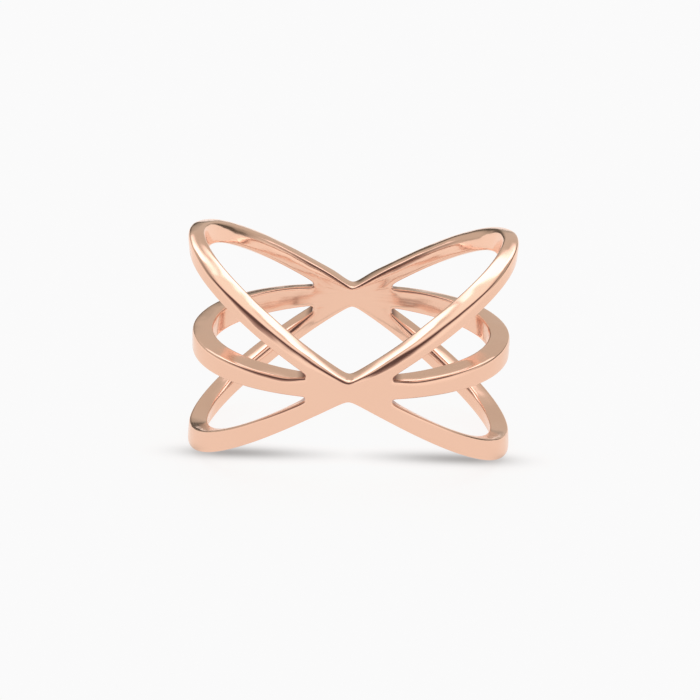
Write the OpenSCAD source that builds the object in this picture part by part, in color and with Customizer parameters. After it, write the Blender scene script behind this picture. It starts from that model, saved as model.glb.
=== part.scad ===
// A cast finger ring of three bands that cross and fuse at the front and the back.
// A flat middle band circles the finger. A wave band above it and another below it
// rise from the two webs to a peak at each side, and leave four open windows.
// +Z runs up the finger hole, the front web faces -Y and the peaks stand at +X and -X.
// Z = 0 is the surface that the ring rests on.

/* [Finger hole] */
// Radius of the finger hole, where the middle band touches the finger
finger_r = 8.65; // [7:0.05:11]
// Height above and below the middle over which the finger hole stays straight
straight_h = 2; // [1:0.1:3]
// Radius of the curve that eases the finger hole outwards above and below that
comfort_r = 22; // [16:1:60]

/* [Wall] */
// Thickness of the wall at mid-height
wall = 1.3; // [1:0.05:1.8]
// Radius of the hollow curve that gives the outside its slight waist
waist_r = 81; // [50:1:200]

/* [Outline] */
// Overall height, from the surface that the ring rests on to its peaks
height = 13.9; // [11:0.1:17]
// Height of the web where the three bands are fused, at the front and the back
web_h = 1.45; // [1.3:0.01:2.2]
// Softness of the notch over each web, as a share of the ring's radius
notch_soft = 0.028; // [0.015:0.001:0.06]
// Share of the rise to the peaks that comes late, 0 for straight arms seen from the front
bow = 0.095; // [0:0.005:0.2]
// Depth of the flat where each peak is polished off
rest_flat = 0.02; // [0.01:0.005:0.05]

/* [Bands] */
// Upright height of a wave band where it leaves the web
band_web = 1.26; // [1:0.02:1.4]
// Upright height of a wave band at the sides
band_side = 1.47; // [1.2:0.01:2]
// Height of the middle band beside the windows' tips
mid_tip = 1.24; // [1:0.02:1.36]
// Height of the middle band at the sides
mid_side = 1.48; // [1.2:0.02:2]

/* [Windows] */
// Distance of a window's tip from the middle of the web, as a share of the wall's mean radius
tip_at = 0.278; // [0.26:0.002:0.34]
// Length of a window's rounded tip, as a share of the wall's mean radius
tip_cap = 0.062; // [0.03:0.002:0.09]

/* [Hidden] */

// The sine of an angle from the front runs from 0 at a web to 1 at a side.
full_sweep = sqrt(1 + pow(notch_soft, 2)) - notch_soft;
peak_rise = (height - web_h) / 2 + rest_flat;

// Radius of the outside at mid-height, and of the middle of the wall
outer_r = finger_r + wall;
mean_r = finger_r + wall / 2;

// How far the cutting solids reach past the wall, as a share of its thickness, and how far the
// uncut wall reaches past its waist
cut_past = 0.6;
blank_past = 1;
blank_w = wall + blank_past;

// Steps along a quarter of the crest, round a window's tip and between a window's tips, how
// much closer together the crest's steps are near the web, and how far round the tip the
// window starts
crest_steps = 24;
cap_steps = 5;
window_steps = 28;
crowding = 1.5;
first_cap = 0.12;

// Facets of the curves in the wall's section, and of the wall where it isn't exact
arc_facets = 720;
wall_facets = 180;

// How far round an angle lies: 0 at a web, 1 at a side, with a soft turn at the web
function sweep(a) = (sqrt(pow(sin(a), 2) + pow(notch_soft, 2)) - notch_soft) / full_sweep;

// Upper edge of the upper wave band, above mid-height
function crest(a) = web_h / 2 + peak_rise * sweep(a) * (1 - bow + bow * sweep(a));

// Lower edge of the upper wave band, above mid-height
function band_under(a) = crest(a) - band_web - (band_side - band_web) * sweep(a);

// Upper edge of the middle band, above mid-height
function mid_top(a) = (mid_side - (mid_side - mid_tip) * pow((1 - sweep(a)) / (1 - tip_at), 2)) / 2;

// Share of a window's height that is open at an angle on a radius: an ellipse over the rounded
// tip, then 1. The tips are cut straight from front to back, so they lie as far from the middle
// of the web on every radius.
function opened(a, r) = sqrt(1 - pow(max((tip_at + tip_cap - sin(a) * r / mean_r) / tip_cap, 0), 2));

// Height of a window's middle, and half of its height, at an angle on a radius
function window_mid(a) = (band_under(a) + mid_top(a)) / 2;
function window_half(a, r) = opened(a, r) * (band_under(a) - mid_top(a)) / 2;

// Angles of a quarter of the ring, closer together near the web, where the notch turns
function quarter(n) = [for (k = [0:n - 1]) 90 * pow(k / n, crowding)];
function reversed(v) = [for (k = [len(v) - 1:-1:0]) v[k]];
function half_turn(n) = concat(quarter(n), [for (a = concat([90], reversed(quarter(n)))) 180 - a]);

// Angles along a window on a radius, from the tip at the front web to the tip at the back web
function cap_angles(r) =
    [for (k = [0:cap_steps - 1])
        let (turned = 90 * (first_cap + (1 - first_cap) * k / cap_steps))
        asin((tip_at + tip_cap * (1 - cos(turned))) * mean_r / r)];
function window_angles(r) =
    let (start = asin((tip_at + tip_cap) * mean_r / r), cap = cap_angles(r))
    concat(cap,
           [for (k = [0:window_steps]) start + (180 - 2 * start) * k / window_steps],
           [for (a = reversed(cap)) 180 - a]);

// A point of the wall at a radius, an angle from the front and a height above mid-height
function at(r, a, z) = [r * sin(a), -r * cos(a), z];

// A point beyond p, straight on from q through p
function past(p, q) = p + (p - q) * cut_past;

// Solid between two edges that are followed round the wall and cut straight through it. Each
// column, inside and outside, is an angle, a low edge and a high edge. A closed one runs on
// into its start.
module cutter(inside, outside, closed) {
    count = len(inside);
    points = [for (k = [0:count - 1])
        let (i = inside[k], o = outside[k],
             in_low = at(finger_r, i[0], i[1]), in_high = at(finger_r, i[0], i[2]),
             out_low = at(outer_r, o[0], o[1]), out_high = at(outer_r, o[0], o[2]))
        each [past(in_low, out_low),
              past(in_high, out_high),
              past(out_high, in_high),
              past(out_low, in_low)]];
    spans = closed ? count : count - 1;
    sides = [for (k = [0:spans - 1], e = [0:3])
        let (n = (k + 1) % count, f = (e + 1) % 4,
             here = [4 * k + e, 4 * k + f], next = [4 * n + e, 4 * n + f])
        each [[here[0], next[1], here[1]], [here[0], next[0], next[1]]]];
    ends = closed ? [] : [[0, 1, 2, 3], [for (e = [3:-1:0]) 4 * (count - 1) + e]];
    polyhedron(points = points, faces = concat(sides, ends), convexity = 6);
}

// Everything above the upper edge, all the way round
module above_crest() {
    half = half_turn(crest_steps);
    turn = concat([for (k = [0:len(half) - 2]) half[k]], [for (k = [0:len(half) - 2]) 180 + half[k]]);
    edges = [for (a = turn) [a, crest(abs(a > 180 ? 360 - a : a)), height]];
    cutter(edges, edges, true);
}

// Edges of a window on a radius
function window_edges(r) =
    [for (a = window_angles(r)) [a, window_mid(a) - window_half(a, r), window_mid(a) + window_half(a, r)]];

// One window between the upper wave band and the middle band, on the +X side
module window() {
    cutter(window_edges(finger_r), window_edges(outer_r), false);
}

// Section of the wall before its edges are cut: straight in the middle of the finger hole,
// eased outwards above and below, and slightly waisted outside
module wall_section() {
    difference() {
        intersection() {
            translate([finger_r, -height / 2]) square([blank_w, height]);
            union() {
                translate([finger_r, -straight_h]) square([blank_w, 2 * straight_h]);
                for (up = [-1, 1])
                    translate([finger_r + comfort_r, up * straight_h])
                        circle(r = comfort_r, $fn = arc_facets);
            }
        }
        translate([outer_r + waist_r, 0]) circle(r = waist_r, $fn = arc_facets);
    }
}

// The whole ring, one casting
module ring() {
    color([0.91, 0.7, 0.58])
    translate([0, 0, height / 2])
    difference() {
        rotate_extrude($fn = wall_facets) wall_section();
        above_crest();
        mirror([0, 0, 1]) above_crest();
        for (side = [0, 1], down = [0, 1])
            mirror([side, 0, 0]) mirror([0, 0, down]) window();
    }
}

ring();
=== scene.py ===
import math

import bpy
import numpy as np
from mathutils import Matrix, Vector


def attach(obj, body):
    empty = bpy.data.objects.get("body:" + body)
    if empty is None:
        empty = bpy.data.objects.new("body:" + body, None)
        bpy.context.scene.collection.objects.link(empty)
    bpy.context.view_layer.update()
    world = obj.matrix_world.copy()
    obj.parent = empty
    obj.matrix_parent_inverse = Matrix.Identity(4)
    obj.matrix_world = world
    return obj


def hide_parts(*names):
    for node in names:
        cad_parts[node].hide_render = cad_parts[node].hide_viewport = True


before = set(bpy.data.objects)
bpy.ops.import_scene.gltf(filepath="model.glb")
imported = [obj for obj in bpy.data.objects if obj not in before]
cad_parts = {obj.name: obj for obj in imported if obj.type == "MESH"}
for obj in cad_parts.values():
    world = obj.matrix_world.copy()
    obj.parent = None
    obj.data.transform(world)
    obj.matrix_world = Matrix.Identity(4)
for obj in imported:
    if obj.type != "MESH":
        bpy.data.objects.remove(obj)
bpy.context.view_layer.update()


# The ring
# One casting in rose gold: a flat band round the finger and a wave band above and below it,
# fused in a web at the front and another at the back. Its edges are softened by hand
# polishing, and those of the wave bands' arms most of all.

# Finger hole: its radius, how far above and below mid-height it stays straight, and the radius
# of the curve that eases it outwards beyond that.
FINGER_R = 8.65e-3
STRAIGHT_H = 2e-3
COMFORT_R = 22e-3

# Wall: its thickness, its mean radius and the radius of the curve of its waist.
WALL = 1.3e-3
MEAN_R = FINGER_R + WALL / 2
WAIST_R = 81e-3

# Outline: the overall height, the web's height, the softness of the notch over a web, the share
# of the rise to a peak that comes late, and the flat where a peak is polished off.
HEIGHT = 13.9e-3
WEB_H = 1.45e-3
NOTCH_SOFT = 0.028
BOW = 0.095
REST_FLAT = 0.02e-3

# Bands: the upright height of a wave band at the web and at the side, and of the middle band
# beside a window's tip and at the side. A tip's place is a share of the wall's mean radius.
BAND_WEB = 1.26e-3
BAND_SIDE = 1.47e-3
MID_TIP = 1.24e-3
MID_SIDE = 1.48e-3
TIP_AT = 0.278

# Columns over a quarter of the ring: angles from a web's middle, 0, to a peak, 90, in degrees.
# The one numbered TIP is a window's end, and TIP_OPEN says how much of a window's height is open
# there and in the next columns.
COLUMNS = [0, 1, 2.2, 3.8, 6, 8.6, 11.2, 13.4, 15, 16.14, 16.9, 17.9, 19.4, 21.6, 24.8, 28.6,
           33, 37.8, 43, 48.2, 53.6, 59, 64.4, 69.6, 74.8, 79.6, 83.6, 87, 90]
TIP = 9
TIP_OPEN = [0.62, 0.86, 0.98]

# Rows down a column, from the crest to mid-height: their shares of the crest's height in the
# middle of a web, and the numbers of the three that run along a band's edge.
WEB_SHARES = np.array([1, 0.74, 0.58, 0.47, 0.36, 0.25, 0.13, 0])
HALF_ROWS = len(WEB_SHARES)
CREST, BAND_EDGE, MID_EDGE = 0, 4, 5

# Radius of most edges in the windows, how much taller than wide the middle band's outer rounding
# is, how far a corner is pulled in, as a share of its rounding, and how often the faces are
# divided to round them.
EDGE_SOFT = 0.18e-3
MID_TALL = 1.6
PULL = 0.25
SUBDIVISIONS = 2


def sweep(s):
    """How far round: 0 at a web, 1 at a peak. The root of s squared plus the softness squared,
    less the softness, over its value at a peak, where s is the sine of the angle from the web."""
    full = math.sqrt(1 + NOTCH_SOFT ** 2) - NOTCH_SOFT
    return (np.sqrt(s ** 2 + NOTCH_SOFT ** 2) - NOTCH_SOFT) / full


def crest(s):
    """Upper edge of the upper wave band above mid-height: half the web's height, plus the rise
    times the sweep, bowed by a share of the sweep squared, and cut off at the rest flat."""
    rise = (HEIGHT - WEB_H) / 2 + REST_FLAT
    return np.minimum(WEB_H / 2 + rise * sweep(s) * (1 - BOW + BOW * sweep(s)), HEIGHT / 2)


def band_under(s):
    """Lower edge of the upper wave band: the crest less a height that grows with the sweep."""
    return crest(s) - BAND_WEB - (BAND_SIDE - BAND_WEB) * sweep(s)


def mid_top(s):
    """Upper edge of the middle band: half a height that grows from the tip to the side."""
    return (MID_SIDE - (MID_SIDE - MID_TIP) * ((1 - sweep(s)) / (1 - TIP_AT)) ** 2) / 2


def inner_r(z):
    """Radius of the finger hole: straight near mid-height, then an arc that eases outwards."""
    past = np.maximum(np.abs(z) - STRAIGHT_H, 0)
    return FINGER_R + COMFORT_R - np.sqrt(COMFORT_R ** 2 - past ** 2)


def outer_r(z):
    """Radius of the outside: a shallow arc, hollow at mid-height."""
    return FINGER_R + WALL + WAIST_R - np.sqrt(WAIST_R ** 2 - z ** 2)


def between(s, *stops):
    """Smooth curve through stops, each a place and its value, by half a cosine wave from each
    stop to the next."""
    places, values = np.array(stops).T
    step = np.clip(np.searchsorted(places, s, side="right") - 1, 0, len(places) - 2)
    share = np.clip((s - places[step]) / (places[step + 1] - places[step]), 0, 1)
    return values[step] + (values[step + 1] - values[step]) * (1 - np.cos(np.pi * share)) / 2


def band_edges(s):
    """Heights of the wave band's upper and lower edge and of the middle band's upper edge in each
    column. The gap between the last two is narrowed in the first columns of a window."""
    high, low, mid = crest(s), band_under(s), mid_top(s)
    opened = np.ones_like(s)
    opened[TIP:TIP + len(TIP_OPEN)] = TIP_OPEN
    gap_mid = (low + mid) / 2
    gap_half = np.maximum((low - mid) / 2 * opened, 0)
    return high, gap_mid + gap_half, gap_mid - gap_half


def row_heights(s, soft_crest, soft_low, soft_mid):
    """Heights of the eight rows in each column, for the three edges' roundings, and how far the
    rows are pulled in to round the corners. The rows are the crest, the end of its rounding, the
    wave band's middle, the start of its lower rounding, its lower edge, the middle band's edge,
    the end of its rounding, and mid-height. Across the web they pass evenly from the web's
    shares of the crest's height to the shares that they have at a window's tip."""
    high, low, mid = band_edges(s)
    rows = np.stack([high, high - soft_crest, (high - soft_crest + low + soft_low) / 2,
                     low + soft_low, low, mid, mid - soft_mid, np.zeros_like(s)], 1)
    at_tip = rows[TIP] / high[TIP]
    share = np.minimum(s / s[TIP], 1)[:, None]
    in_web = high[:, None] * (WEB_SHARES + (at_tip - WEB_SHARES) * share)
    rows = np.where(np.arange(len(s))[:, None] < TIP, in_web, rows)
    pull = np.zeros_like(rows)
    pull[:, CREST] = PULL * soft_crest
    pull[TIP:, BAND_EDGE] = -PULL * soft_low[TIP:]
    pull[TIP:, MID_EDGE] = PULL * soft_mid[TIP:]
    return rows, pull


def around(s):
    """Angles of all columns round the ring, from the front web, for a quarter's sines."""
    quarter = np.arcsin(s)
    return np.concatenate([quarter, np.pi - quarter[-2::-1], np.pi + quarter[1:],
                           2 * np.pi - quarter[-2:0:-1]])


# Sines of a quarter's columns: mid-wall, outside and inside. The windows' tips are cut straight
# from front to back, so near them a column lies at a smaller angle outside than inside. That
# fades out further round.
s = np.sin(np.radians(COLUMNS))
cut_straight = between(s, (0.3, 1), (0.8, 0))
s_out = s * (MEAN_R / (FINGER_R + WALL)) ** cut_straight
s_in = s * (MEAN_R / FINGER_R) ** cut_straight

# Angles of all columns in each of the four layers through the wall, and the number that each
# column has in its own quarter.
angle = np.stack([around(s_out), around(s_out), around(s_in), around(s_in)], 1)
last = len(s) - 1
at = np.concatenate([np.arange(last + 1), np.arange(last - 1, -1, -1), np.arange(1, last + 1),
                     np.arange(last - 1, 0, -1)])

# Radii of the roundings, as curves over the sine from a web to a side. The first four are for
# the outer and inner edges of the upper wave band's top, at the front and at the back, and the
# underside of the lower wave band takes two of them. In the windows, soft_low_back is for the
# inner edge of the lower wave band at the back and soft_mid for the outer edges of the middle
# band. All other edges have soft_edge. The outer roundings of the crest, by crest_tall, and of
# the middle band are taller than wide.
soft_out_front = between(s, (0, 0.18e-3), (0.05, 0.18e-3), (0.2, 0.28e-3), (0.55, 0.3e-3),
                         (0.85, 0.2e-3), (1, 0.25e-3))
soft_out_back = between(s, (0.05, 0.14e-3), (0.35, 0.16e-3), (0.85, 0.16e-3), (1, 0.25e-3))
soft_in_front = between(s, (0.05, 0.14e-3), (0.35, 0.3e-3), (0.85, 0.3e-3), (1, 0.25e-3))
soft_in_back = between(s, (0, 0.3e-3), (0.1, 0.3e-3), (0.35, 0.5e-3), (0.85, 0.5e-3), (1, 0.25e-3))
soft_low_back = between(s, (s[TIP], 0.18e-3), (0.42, 0.45e-3), (0.85, 0.45e-3), (1, 0.18e-3))
soft_mid = between(s, (s[TIP], 0.14e-3), (0.5, 0.16e-3), (0.8, 0.13e-3), (1, 0.13e-3))
soft_edge = np.full_like(s, EDGE_SOFT)
crest_tall = between(s, (0, 1), (0.12, 1.2), (0.3, 1.7), (0.6, 1.7), (0.8, 1.2), (1, 1.2))

# How far the tops fall outwards, per distance. The upper wave band's rises outwards at the back,
# where the middle band's falls from an inner edge that is lifted.
slope_front = between(s, (0, 0.1), (0.16, 0.12), (0.3, 0.13), (0.5, 0.2), (0.6, 0.22),
                      (0.86, 0.3), (1, 0.05))
slope_back = between(s, (0, 0), (0.16, -0.14), (0.6, -0.16), (0.86, -0.08), (1, 0.05))
mid_slope_front = between(s, (s[TIP], 0), (0.42, 0.17), (0.6, 0.17), (0.9, 0.12), (1, 0.05))
mid_slope_back = between(s, (0, 0), (s[TIP], 0.1), (0.42, 0.13), (0.85, 0.13), (1, 0.05))
mid_lift_back = between(s, (0, 0), (s[TIP], 0.12e-3), (0.42, 0.17e-3), (0.85, 0.15e-3), (1, 0))
level = np.zeros_like(s)


def quarter_wall(soft_out, soft_in, soft_low, slope, mid_slope, mid_lift):
    """Radius and height of a quarter of the ring, by column, by the eight rows from the crest
    to mid-height, and by four layers through the wall: the outside, where the outer rounding
    ends, where the inner rounding ends, and the inside. The heights on the tops fall by the
    slope times the distance from the inside, and the middle band's are lifted."""
    out_rows, out_pull = row_heights(s_out, crest_tall * soft_out, soft_edge, MID_TALL * soft_mid)
    in_rows, in_pull = row_heights(s_in, soft_in, soft_low, soft_edge)
    outside, inside = outer_r(out_rows), inner_r(in_rows)
    mid_rows = HALF_ROWS - MID_EDGE
    soft_outside = np.stack([soft_out] * BAND_EDGE + [soft_edge] + [soft_mid] * mid_rows, 1)
    soft_inside = np.stack([soft_in] * BAND_EDGE + [soft_low] + [soft_edge] * mid_rows, 1)
    radius = np.stack([outside - np.abs(out_pull), outside - soft_outside,
                       inside + soft_inside, inside + np.abs(in_pull)], 2)
    height = np.stack([out_rows - out_pull, out_rows, in_rows, in_rows - in_pull], 2)
    on_crest = np.isin(np.arange(HALF_ROWS), [CREST, CREST + 1])
    on_mid = np.isin(np.arange(HALF_ROWS), [MID_EDGE, MID_EDGE + 1])
    sloping = np.outer(slope, on_crest) + np.outer(mid_slope, on_mid)
    lift = np.outer(mid_lift, on_mid)[:, :, None]
    return radius, height + lift - sloping[:, :, None] * (radius - inside[:, :, None])


def whole(front, back, front_under, back_under):
    """Values of a front and a back quarter carried round the ring, above and below mid-height."""
    at_back = (np.cos(angle[:, 0]) < 0)[:, None, None]
    upper = np.where(at_back, back[at], front[at])
    under = np.where(at_back, back_under[at], front_under[at])
    return np.concatenate([upper, under[:, -2::-1]], 1)


front_radius, front_height = quarter_wall(soft_out_front, soft_in_front, soft_edge,
                                          slope_front, mid_slope_front, level)
back_radius, back_height = quarter_wall(soft_out_back, soft_in_back, soft_edge,
                                        slope_back, mid_slope_back, mid_lift_back)
front_under_radius, front_under_height = quarter_wall(soft_out_back, soft_in_front, soft_edge,
                                                      level, level, level)
back_under_radius, back_under_height = quarter_wall(soft_out_back, soft_in_front, soft_low_back,
                                                    level, level, level)
radius = whole(front_radius, back_radius, front_under_radius, back_under_radius)
height = whole(front_height, back_height, -front_under_height, -back_under_height)
columns, rows, layers = radius.shape
points = np.stack([radius * np.sin(angle)[:, None, :], -radius * np.cos(angle)[:, None, :],
                   height + HEIGHT / 2], 3)

# A cell of the grid, between two columns and two rows, is metal unless it lies in a window.
i, j = np.meshgrid(np.arange(columns), np.arange(rows - 1), indexing="ij")
n = (i + 1) % columns
open_column = (at[i] >= TIP) & (at[n] >= TIP)
lower_mid_edge, lower_band_edge = rows - 1 - MID_EDGE, rows - 1 - BAND_EDGE
metal = ~(open_column & ((j == BAND_EDGE) | (j == lower_mid_edge)))


def index(i, j, layer):
    """Number of a grid point, counted by column, row and layer."""
    return (i * rows + j) * layers + layer


def along_wall(layer, *corners):
    """Faces of the metal cells on one layer of the wall, with their corners in this order."""
    return np.stack([index(*corner, layer) for corner in corners], -1)[metal]


def across_wall(cells, p, q):
    """Faces through the wall along the edge from p to q of each of these cells."""
    strips = [np.stack([index(*q, k), index(*p, k), index(*p, k + 1), index(*q, k + 1)], -1)
              for k in range(layers - 1)]
    return np.concatenate([strip[cells] for strip in strips])


# The corners of each cell, seen from outside, and whether the cells above and below it are metal.
high_left, high_right, low_right, low_left = (i, j), (n, j), (n, j + 1), (i, j + 1)
above = np.concatenate([np.zeros((columns, 1), bool), metal[:, :-1]], 1)
below = np.concatenate([metal[:, 1:], np.zeros((columns, 1), bool)], 1)
faces = np.concatenate([
    along_wall(0, low_left, low_right, high_right, high_left),
    along_wall(layers - 1, high_left, high_right, low_right, low_left),
    across_wall(metal & ~above, high_right, high_left),
    across_wall(metal & ~below, low_left, low_right),
    across_wall(metal & ~np.roll(metal, 1, 0), high_left, low_left),
    across_wall(metal & ~np.roll(metal, -1, 0), low_right, high_right),
])
used, faces = np.unique(faces, return_inverse=True)
mesh = bpy.data.meshes.new("cast_ring")
mesh.from_pydata(points.reshape(-1, 3)[used].tolist(), [], faces.reshape(-1, 4).tolist())
mesh.polygons.foreach_set("use_smooth", np.ones(len(mesh.polygons), bool))

# Height of each point above the middle of its own band, which the polishing lines follow.
band_mid = np.minimum(s / s[TIP], 1) * (crest(s) + band_under(s)) / 2
follow = np.concatenate([np.ones(MID_EDGE), np.zeros(rows - 2 * MID_EDGE), -np.ones(MID_EDGE)])
across = height - (band_mid[at][:, None] * follow)[:, :, None]
attribute = mesh.attributes.new("across", "FLOAT", "POINT")
attribute.data.foreach_set("value", across.reshape(-1)[used].astype(np.float32))

# How deep in a window's tip a point lies, which sets how strong the painted shade is there.
deep = np.interp(np.arange(len(s)), [TIP - 1, TIP, TIP + 1, TIP + 3], [0, 1, 1, 0])
beside_gap = np.isin(np.arange(rows), [BAND_EDGE, MID_EDGE, lower_mid_edge, lower_band_edge])
within_wall = np.array([0, 1, 1, 0])
tip_shade = deep[at][:, None, None] * beside_gap[None, :, None] * within_wall
attribute = mesh.attributes.new("tip_shade", "FLOAT", "POINT")
attribute.data.foreach_set("value", tip_shade.reshape(-1)[used].astype(np.float32))

ring = bpy.data.objects.new("cast_ring", mesh)
bpy.context.scene.collection.objects.link(ring)
rounding = ring.modifiers.new("rounding", "SUBSURF")
rounding.levels = rounding.render_levels = SUBDIVISIONS


def add_node(tree, kind, **settings):
    """A node of this kind in a node tree, with its settings and, by name, its inputs' values."""
    node = tree.nodes.new(kind)
    for name, value in settings.items():
        if hasattr(node, name):
            setattr(node, name, value)
        else:
            node.inputs[name.replace("_", " ")].default_value = value
    return node


def calculate(tree, operation, *inputs):
    """A Math node's output for this operation, on these sockets and numbers."""
    node = add_node(tree, "ShaderNodeMath", operation=operation)
    for socket, value in zip(node.inputs, inputs):
        if isinstance(value, (int, float)):
            socket.default_value = value
        else:
            tree.links.new(value, socket)
    return node.outputs[0]


def math_on(tree):
    """The same, as a function of the operation and its inputs alone, in this node tree."""
    return lambda operation, *inputs: calculate(tree, operation, *inputs)


def mix_colours(tree, share, first, second):
    """The first colour where the share is 0 and the second where it is 1. Each is a socket or a
    fixed colour."""
    mix = add_node(tree, "ShaderNodeMix", data_type="RGBA")
    tree.links.new(share, mix.inputs["Factor"])
    sockets = [socket for socket in mix.inputs if socket.type == "RGBA"]
    for socket, colour in zip(sockets, (first, second)):
        if isinstance(colour, tuple):
            socket.default_value = colour
        else:
            tree.links.new(colour, socket)
    return next(socket for socket in mix.outputs if socket.type == "RGBA")


def from_middle(do, parts):
    """Distance from the upright axis through the ring's middle, for the parts of a place."""
    squares = [do("POWER", parts.outputs[axis], 2.0) for axis in ("X", "Y")]
    return do("SQRT", do("ADD", *squares))


# The gold's colour in two shades, as seen in the gold itself, and as a painted shade in the
# windows' tips, and the tint that it keeps at a grazing angle.
GOLD = (0.91, 0.583, 0.432, 1)
GOLD_REDDER = (0.9, 0.562, 0.408, 1)
GOLD_IN_ITSELF = (0.95, 0.74, 0.66, 1)
GOLD_SHADED_IN_TIPS = (0.26, 0.11, 0.08, 1)
GRAZING_TINT = (1, 0.92, 0.86, 1)
BLOTCH_PER_M = 260

# The polishing's marks: how close they lie and how deep they are. The lines set the roughness
# too, from where their noise is low to where it is high.
LINES_ALONG_PER_M, LINES_ACROSS_PER_M = 260, 9000
LINE_DEEP = 1.2e-6
LINE_LOW, LINE_HIGH = 0.3, 0.7
SMOOTH, ROUGH = 0.09, 0.17
RUBS_TO_LINES = (1.2, 1.2, 0.13)
RUB_DEEP = 26e-6
WAVES_PER_M = 420
WAVE_DEEP = 95e-6

gold = bpy.data.materials.new("polished_rose_gold")
gold.use_nodes = True
tree = gold.node_tree
link = tree.links.new
do = math_on(tree)
metal_shader = tree.nodes["Principled BSDF"]
metal_shader.inputs["Metallic"].default_value = 1
metal_shader.inputs["Specular Tint"].default_value = GRAZING_TINT
place = add_node(tree, "ShaderNodeTexCoord")
parts = add_node(tree, "ShaderNodeSeparateXYZ")
link(place.outputs["Object"], parts.inputs[0])

# The alloy's colour varies a little from place to place. The windows' tips are darkened by a
# painted shade, and gold that is seen in the gold is paler.
blotches = add_node(tree, "ShaderNodeTexNoise", Scale=BLOTCH_PER_M, Detail=2)
link(place.outputs["Object"], blotches.inputs["Vector"])
alloy = mix_colours(tree, blotches.outputs["Fac"], GOLD, GOLD_REDDER)
# Painted shade: the gold darkens to a dark brown towards each window's tip.
tip = add_node(tree, "ShaderNodeAttribute", attribute_name="tip_shade")
shaded_tips = mix_colours(tree, tip.outputs["Fac"], alloy, GOLD_SHADED_IN_TIPS)
seen = add_node(tree, "ShaderNodeLightPath")
paler = mix_colours(tree, seen.outputs["Is Glossy Ray"], shaded_tips, GOLD_IN_ITSELF)
link(paler, metal_shader.inputs["Base Color"])

# Fine polishing lines run along the bands: noise drawn out along them, on every side of a band.
height_in_band = add_node(tree, "ShaderNodeAttribute", attribute_name="across")
stretched = add_node(tree, "ShaderNodeCombineXYZ")
link(do("MULTIPLY", parts.outputs["X"], LINES_ALONG_PER_M), stretched.inputs[0])
link(do("MULTIPLY", parts.outputs["Y"], LINES_ALONG_PER_M), stretched.inputs[1])
link(do("MULTIPLY", height_in_band.outputs["Fac"], LINES_ACROSS_PER_M), stretched.inputs[2])
from_axis = from_middle(do, parts)
lines = add_node(tree, "ShaderNodeTexNoise", noise_dimensions="4D", Scale=1, Detail=2)
link(stretched.outputs[0], lines.inputs["Vector"])
link(do("MULTIPLY", from_axis, LINES_ACROSS_PER_M), lines.inputs["W"])
gloss = add_node(tree, "ShaderNodeMapRange", From_Min=LINE_LOW, From_Max=LINE_HIGH,
                 To_Min=SMOOTH, To_Max=ROUGH)
link(lines.outputs["Fac"], gloss.inputs["Value"])
link(gloss.outputs[0], metal_shader.inputs["Roughness"])

# Hand polishing leaves the faces a little wavy, with broad shallow rubs along the bands.
waves = add_node(tree, "ShaderNodeTexNoise", Scale=WAVES_PER_M, Detail=1)
link(place.outputs["Object"], waves.inputs["Vector"])
wavy = add_node(tree, "ShaderNodeBump", Distance=WAVE_DEEP)
link(waves.outputs["Fac"], wavy.inputs["Height"])
drawn_out = add_node(tree, "ShaderNodeVectorMath", operation="MULTIPLY")
drawn_out.inputs[1].default_value = RUBS_TO_LINES
link(stretched.outputs[0], drawn_out.inputs[0])
rubs = add_node(tree, "ShaderNodeTexNoise", noise_dimensions="4D", Scale=1, Detail=1)
link(drawn_out.outputs[0], rubs.inputs["Vector"])
link(do("MULTIPLY", from_axis, LINES_ACROSS_PER_M * RUBS_TO_LINES[2]), rubs.inputs["W"])
rubbed = add_node(tree, "ShaderNodeBump", Distance=RUB_DEEP)
link(rubs.outputs["Fac"], rubbed.inputs["Height"])
link(wavy.outputs[0], rubbed.inputs["Normal"])
lined = add_node(tree, "ShaderNodeBump", Distance=LINE_DEEP)
link(lines.outputs["Fac"], lined.inputs["Height"])
link(rubbed.outputs[0], lined.inputs["Normal"])
link(lined.outputs[0], metal_shader.inputs["Normal"])
ring.data.materials.append(gold)

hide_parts("ring")
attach(ring, "root")


# The floor
# A wide sheet of pale matt card. It glows a little, as the card of a light table does, so the
# ring's own shadow on it stays faint, and a soft streak of shadow is drawn in it under each lobe
# of the ring.

# Middle of a streak, how far it reaches outwards, how much further inwards and how far to its
# front and back, and how much of the glow it takes away.
SHADOW_X, SHADOW_Y = 7.6e-3, -2.5e-3
SHADOW_LONG, SHADOW_TAIL, SHADOW_DEEP = 2.6e-3, 2.5e-3, 1e-3
SHADOW_DARK = 0.64

# Strength of the glow that the metal reflects, near the ring and far from it, the distances
# between which it changes, and the strength that the camera sees.
GLOW, GLOW_FAR = 0.83, 0.9
NEAR, FAR = 30e-3, 60e-3
GLOW_SHOWN = 0.85
CARD_GREY = (0.2, 0.2, 0.2, 1)
FLOOR_HALF = 4

corners = [(-FLOOR_HALF, -FLOOR_HALF, 0), (FLOOR_HALF, -FLOOR_HALF, 0),
           (FLOOR_HALF, FLOOR_HALF, 0), (-FLOOR_HALF, FLOOR_HALF, 0)]
floor_mesh = bpy.data.meshes.new("floor")
floor_mesh.from_pydata(corners, [], [(0, 1, 2, 3)])
floor = bpy.data.objects.new("floor", floor_mesh)
bpy.context.scene.collection.objects.link(floor)
card = bpy.data.materials.new("pale_card")
card.use_nodes = True
tree = card.node_tree
link = tree.links.new
do = math_on(tree)
card_shader = tree.nodes["Principled BSDF"]
card_shader.inputs["Base Color"].default_value = CARD_GREY
card_shader.inputs["Roughness"].default_value = 1
card_shader.inputs["Specular IOR Level"].default_value = 0
card_shader.inputs["Emission Color"].default_value = (1, 1, 1, 1)
place = add_node(tree, "ShaderNodeTexCoord")
parts = add_node(tree, "ShaderNodeSeparateXYZ")
link(place.outputs["Object"], parts.inputs[0])

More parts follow.
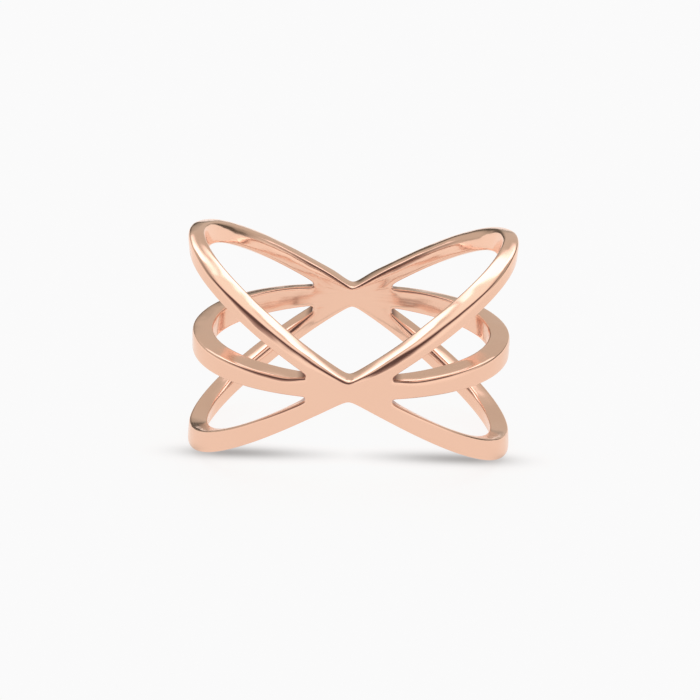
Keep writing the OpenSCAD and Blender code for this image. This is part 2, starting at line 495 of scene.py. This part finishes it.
# A streak is a bell curve: e to the power of minus the sum of two squares, its place along the
# streak over the reach there and its place across the streak over the depth.
beside = do("SUBTRACT", do("ABSOLUTE", parts.outputs["X"]), SHADOW_X)
reach = do("ADD", SHADOW_LONG, do("MULTIPLY", do("LESS_THAN", beside, 0.0), SHADOW_TAIL))
along = do("POWER", do("DIVIDE", beside, reach), 2.0)
towards = do("POWER", do("DIVIDE", do("SUBTRACT", parts.outputs["Y"], SHADOW_Y), SHADOW_DEEP), 2.0)
streak = do("EXPONENT", do("MULTIPLY", do("ADD", along, towards), -1.0))

far = add_node(tree, "ShaderNodeMapRange", interpolation_type="SMOOTHSTEP",
               From_Min=NEAR, From_Max=FAR, To_Min=GLOW, To_Max=GLOW_FAR)
link(from_middle(do, parts), far.inputs["Value"])
seen = add_node(tree, "ShaderNodeLightPath")
glow = add_node(tree, "ShaderNodeMix", data_type="FLOAT", B=GLOW_SHOWN)
link(seen.outputs["Is Camera Ray"], glow.inputs["Factor"])
link(far.outputs[0], glow.inputs["A"])
lit = do("MULTIPLY", glow.outputs[0], do("SUBTRACT", 1.0, do("MULTIPLY", streak, SHADOW_DARK)))
link(lit, card_shader.inputs["Emission Strength"])
floor.data.materials.append(card)


# The studio
# Walls as the metal reflects them: behind the ring grey with a dark foot, on the camera's side
# pale below and dark further up, and bright overhead all round. An arch of three soft boxes
# stands close behind the ring. The camera sees a plain pale backdrop.

# Brightness of the walls at heights in degrees above the horizon, the tint of their dark parts,
# and how far back the one in front begins and ends to give way to the one behind.
WALL_BEHIND = [(0, 0.12), (5, 0.42), (8, 0.46), (16, 0.64), (40, 0.62), (62, 0.75), (76, 1.15)]
TINT_BEHIND = (0.95, 1, 0.9)
WALL_IN_FRONT = [(0, 1.12), (8, 1), (18, 0.4), (26, 0.12), (43, 0.1), (53, 0.5), (64, 1), (76, 1.15)]
TINT_IN_FRONT = (1, 0.7, 0.72)
BACK_FROM, BACK_TO = -0.2, 0.5
BACKDROP = (0.96, 0.96, 0.96, 1)

# The walls' dark and bright parts aren't level. Noise of this scale and height moves them up and
# down, and so does a wave from left to right, which has its peak here and is this long and high.
CLUTTER_SCALE, CLUTTER_HIGH = 4, 0.15
WAVE_PEAK_AT, WAVE_LONG, WAVE_HIGH = 0.25, 1.05, 0.2

world = bpy.data.worlds.new("studio")
bpy.context.scene.world = world
world.use_nodes = True
tree = world.node_tree
link = tree.links.new
do = math_on(tree)
background = tree.nodes["Background"]
direction = add_node(tree, "ShaderNodeTexCoord")
parts = add_node(tree, "ShaderNodeSeparateXYZ")
link(direction.outputs["Generated"], parts.inputs[0])
clutter = add_node(tree, "ShaderNodeTexNoise", Scale=CLUTTER_SCALE, Detail=1)
link(direction.outputs["Generated"], clutter.inputs["Vector"])
uneven = do("MULTIPLY", do("SUBTRACT", clutter.outputs["Fac"], 0.5), CLUTTER_HIGH)
turned = do("MULTIPLY", do("SUBTRACT", parts.outputs["X"], WAVE_PEAK_AT), 2 * math.pi / WAVE_LONG)
wave_high = do("MULTIPLY", do("SUBTRACT", 1.0, parts.outputs["Z"]), WAVE_HIGH)
wave = do("MULTIPLY", do("COSINE", turned), wave_high)
sine_up = do("ADD", parts.outputs["Z"], do("ADD", uneven, wave))


def brightness_by_height(stops, tint):
    """Brightness against the elevation's sine, a smooth curve through stops of degrees and value.
    The darker it is, the more of the tint it takes on."""
    ramp = add_node(tree, "ShaderNodeValToRGB")
    ramp.color_ramp.interpolation = "EASE"
    while len(ramp.color_ramp.elements) < len(stops):
        ramp.color_ramp.elements.new(1)
    for element, (degrees, value) in zip(ramp.color_ramp.elements, stops):
        element.position = math.sin(math.radians(degrees))
        dark = max(1 - value, 0)
        element.color = [value * (1 - dark * (1 - part)) for part in tint] + [1]
    link(sine_up, ramp.inputs[0])
    return ramp.outputs[0]


behind = brightness_by_height(WALL_BEHIND, TINT_BEHIND)
in_front = brightness_by_height(WALL_IN_FRONT, TINT_IN_FRONT)
back_share = add_node(tree, "ShaderNodeMapRange", interpolation_type="SMOOTHSTEP",
                      From_Min=BACK_FROM, From_Max=BACK_TO)
link(parts.outputs["Y"], back_share.inputs["Value"])
walls = mix_colours(tree, back_share.outputs[0], in_front, behind)
seen = add_node(tree, "ShaderNodeLightPath")
shown = mix_colours(tree, seen.outputs["Is Camera Ray"], walls, BACKDROP)
link(shown, background.inputs["Color"])

# How far behind the ring's middle the soft boxes stand, how bright they are and their cool white
BOX_BEHIND = 25e-3
BOX_BRIGHT = 2.2
BOX_COLOUR = (0.93, 0.88, 1)


def soft_box(name, x, z, width, tall):
    """A flat soft box, upright behind the ring at this place and facing it, which only the metal
    sees. Its light is the root of a product of two humps, one across it and one up it, each
    four times the share of the way times the share that is left."""
    data = bpy.data.lights.new(name, "AREA")
    data.shape = "RECTANGLE"
    data.size, data.size_y = width, tall
    data.energy = BOX_BRIGHT * math.pi * width * tall
    data.color = BOX_COLOUR
    data.use_nodes = True
    tree = data.node_tree
    do = math_on(tree)
    surface = add_node(tree, "ShaderNodeNewGeometry")
    share = add_node(tree, "ShaderNodeSeparateXYZ")
    tree.links.new(surface.outputs["Parametric"], share.inputs[0])
    humps = []
    for way in (share.outputs["X"], share.outputs["Y"]):
        humps.append(do("MULTIPLY", do("MULTIPLY", way, do("SUBTRACT", 1.0, way)), 4.0))
    strength = do("POWER", do("MULTIPLY", *humps), 0.5)
    tree.links.new(strength, tree.nodes["Emission"].inputs["Strength"])
    box = bpy.data.objects.new(name, data)
    box.location = (x, BOX_BEHIND, z)
    box.rotation_euler = (math.radians(-90), 0, 0)
    box.visible_diffuse = box.visible_camera = False
    bpy.context.scene.collection.objects.link(box)


soft_box("soft_box_left", x=-32e-3, z=63.5e-3, width=34e-3, tall=73e-3)
soft_box("soft_box_right", x=30e-3, z=63.5e-3, width=34e-3, tall=73e-3)
soft_box("soft_box_top", x=5e-3, z=70e-3, width=36e-3, tall=64e-3)

# Film that takes everything up to the pale floor as it is, and leaves the last step up to white
# for all that is brighter.
PALE_FLOOR, BRIGHTEST = 0.956, 1.5
view = bpy.context.scene.view_settings
view.view_transform = "Standard"
view.use_curve_mapping = True
curve = view.curve_mapping
curve.extend = "HORIZONTAL"
curve.white_level = (BRIGHTEST, BRIGHTEST, BRIGHTEST)
curve.curves[3].points.new(PALE_FLOOR / BRIGHTEST, PALE_FLOOR)
for point in curve.curves[3].points:
    point.handle_type = "VECTOR"
curve.update()


# The camera
# Placed by fitting the ring's outline to the photo: 139 mm from the ring's middle, 18.4 degrees
# above it, and turned 1.57 degrees about its own line of sight.

DISTANCE = 139e-3
ELEVATION = math.radians(18.404)
YAW = math.radians(-0.225)
ROLL = math.radians(1.566)

# The photo's size in pixels, the middle of the ring in it, from the left and from the top, and
# the ring's scale there
IMAGE = 700
IMAGE_MID = (IMAGE - 1) / 2
RING_LEFT, RING_DOWN = 350.44, 337.52
PIXELS_PER_M = 15915

# The sensor's width in millimetres, and the nearest that the camera sees
SENSOR_WIDTH = 36
NEAREST = 0.01

centre = Vector((0, 0, HEIGHT / 2))
turn = Matrix.Rotation(-YAW, 3, "Z")
backward = turn @ Vector((0, -math.cos(ELEVATION), math.sin(ELEVATION)))
flat_right = turn @ Vector((1, 0, 0))
flat_up = backward.cross(flat_right)
right = flat_right * math.cos(ROLL) + flat_up * math.sin(ROLL)
up = flat_up * math.cos(ROLL) - flat_right * math.sin(ROLL)
focal_pixels = PIXELS_PER_M * DISTANCE
offset = right * (RING_LEFT - IMAGE_MID) + up * (IMAGE_MID - RING_DOWN)
aim = (-backward * focal_pixels - offset).normalized()
side_axis = (right - aim * right.dot(aim)).normalized()
camera_data = bpy.data.cameras.new("camera")
camera_data.sensor_width = SENSOR_WIDTH
camera_data.lens = focal_pixels * SENSOR_WIDTH / IMAGE
camera_data.clip_start = NEAREST
camera = bpy.data.objects.new("camera", camera_data)
axes = Matrix((side_axis, (-aim).cross(side_axis), -aim)).transposed()
camera.matrix_world = Matrix.Translation(centre + backward * DISTANCE) @ axes.to_4x4()
bpy.context.scene.collection.objects.link(camera)
bpy.context.scene.camera = camera
